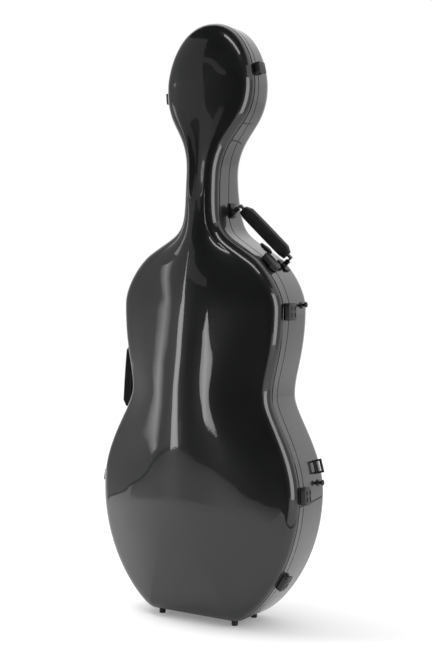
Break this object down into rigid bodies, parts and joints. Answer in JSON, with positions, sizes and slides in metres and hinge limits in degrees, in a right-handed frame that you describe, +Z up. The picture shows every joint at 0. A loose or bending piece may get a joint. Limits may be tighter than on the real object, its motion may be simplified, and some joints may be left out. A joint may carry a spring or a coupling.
{
  "type": "cello hard case",
  "caption": "Rigid cello case standing on its feet: hinged lid, lever latches, carrying handles, padded interior with neck cradle, bow holders and accessory box.",
  "frame": {"origin": "on the floor, under the middle of the whole case's bounding box", "axes": "+Z up along the case's length, +X towards the latches, +Y to the back; the lid faces -Y"},
  "size_m": [0.5278, 0.261, 1.33],
  "materials": {
    "shell": "high-gloss dark graphite lacquer over a composite shell",
    "lining": "short black plush over foam",
    "rubber": "matt black",
    "grip": "padded black leatherette",
    "hardware": "satin black moulded plastic",
    "padding": "dark grey velour over foam",
    "webbing": "black woven webbing",
    "steel": "black-coated steel"
  },
  "bodies": {
    "base": {"base_shell": "shell", "base_lining": "lining", "rim_seal": "rubber", "upper_hinge_base_leaf": "steel", "lower_hinge_base_leaf": "steel", "corner_latch_plate": "hardware", "lower_latch_plate": "hardware", "upper_latch_plate": "hardware", "shoulder_latch_plate": "hardware", "head_latch_plate": "hardware", "left_head_latch_plate": "hardware", "shoulder_handle_lower_bracket": "steel", "shoulder_handle_upper_bracket": "steel", "waist_handle_lower_bracket": "steel", "waist_handle_upper_bracket": "steel", "base_foot_left": "rubber", "base_foot_right": "rubber", "upper_strap_post_left": "steel", "upper_strap_post_right": "steel", "lower_strap_post_left": "steel", "lower_strap_post_right": "steel", "strap_eye_left": "steel", "strap_eye_right": "steel", "neck_cradle": "padding", "neck_strap": "webbing", "lower_pad_left": "padding", "lower_pad_right": "padding", "shoulder_pad_left": "padding", "shoulder_pad_right": "padding", "endpin_block": "rubber", "accessory_box": "hardware"},
    "lid": {"lid_shell": "shell", "lid_lining": "lining", "upper_hinge_lid_leaf": "steel", "lower_hinge_lid_leaf": "steel", "corner_latch_keeper": "hardware", "lower_latch_keeper": "hardware", "upper_latch_keeper": "hardware", "shoulder_latch_keeper": "hardware", "head_latch_keeper": "hardware", "left_head_latch_keeper": "hardware", "lid_foot_left": "rubber", "lid_foot_right": "rubber", "bow_tip_pocket_left": "padding", "bow_tip_pocket_right": "padding", "bow_clip_base_left": "hardware", "bow_clip_base_right": "hardware"},
    "corner_lever": {"corner_latch_lever": "hardware"},
    "lower_lever": {"lower_latch_lever": "hardware"},
    "upper_lever": {"upper_latch_lever": "hardware"},
    "shoulder_lever": {"shoulder_latch_lever": "hardware"},
    "head_lever": {"head_latch_lever": "hardware"},
    "left_head_lever": {"left_head_latch_lever": "hardware"},
    "shoulder_handle": {"shoulder_handle_core": "steel", "shoulder_handle_grip": "grip"},
    "waist_handle": {"waist_handle_core": "steel", "waist_handle_grip": "grip"},
    "left_bow_clip": {"bow_clip_left": "hardware"},
    "right_bow_clip": {"bow_clip_right": "hardware"},
    "box_door": {"accessory_box_door": "hardware"}
  },
  "joints": [
    {"name": "lid_hinge", "type": "hinge", "parent": "base", "child": "lid", "pos_m": [-0.25526, -0.0085, 0.30462], "axis": [-0.1222, 0, -0.9925], "range_deg": [0, 110]},
    {"name": "corner_latch", "type": "hinge", "parent": "base", "child": "corner_lever", "pos_m": [0.20796, 0.0055, 0.10985], "axis": [0.5075, 0, 0.8617], "range_deg": [0, 85]},
    {"name": "lower_latch", "type": "hinge", "parent": "base", "child": "lower_lever", "pos_m": [0.25616, -0.0005, 0.30546], "axis": [-0.0692, 0, 0.9976], "range_deg": [0, 85]},
    {"name": "upper_latch", "type": "hinge", "parent": "base", "child": "upper_lever", "pos_m": [0.20709, -0.0005, 0.70134], "axis": [-0.0524, 0, 0.9986], "range_deg": [0, 85]},
    {"name": "shoulder_latch", "type": "hinge", "parent": "base", "child": "shoulder_lever", "pos_m": [0.15513, -0.0005, 0.80743], "axis": [-0.7103, 0, 0.7039], "range_deg": [0, 85]},
    {"name": "head_latch", "type": "hinge", "parent": "base", "child": "head_lever", "pos_m": [0.10936, 0.0045, 1.22954], "axis": [-0.2441, 0, 0.9698], "range_deg": [0, 85]},
    {"name": "left_head_latch", "type": "hinge", "parent": "base", "child": "left_head_lever", "pos_m": [-0.11342, 0.0045, 1.16938], "axis": [0.0999, 0, -0.995], "range_deg": [0, 85]},
    {"name": "shoulder_handle_swing", "type": "hinge", "parent": "base", "child": "shoulder_handle", "pos_m": [0.10739, 0.027, 0.86375], "axis": [-0.6636, -0.2664, 0.699], "range_deg": [-40, 60]},
    {"name": "waist_handle_swing", "type": "hinge", "parent": "base", "child": "waist_handle", "pos_m": [-0.20836, 0.0215, 0.53457], "axis": [-0.045, 0, -0.999], "range_deg": [-40, 60]},
    {"name": "left_bow_clip_turn", "type": "hinge", "parent": "lid", "child": "left_bow_clip", "pos_m": [-0.12826, -0.0605, 0.205], "axis": [0, -1, 0], "range_deg": [0, 90]},
    {"name": "right_bow_clip_turn", "type": "hinge", "parent": "lid", "child": "right_bow_clip", "pos_m": [0.12774, -0.0605, 0.205], "axis": [0, 1, 0], "range_deg": [0, 90]},
    {"name": "box_door_hinge", "type": "hinge", "parent": "base", "child": "box_door", "pos_m": [-0.00026, 0.0342, 1.115], "axis": [1, 0, 0], "range_deg": [0, 90]}
  ]
}
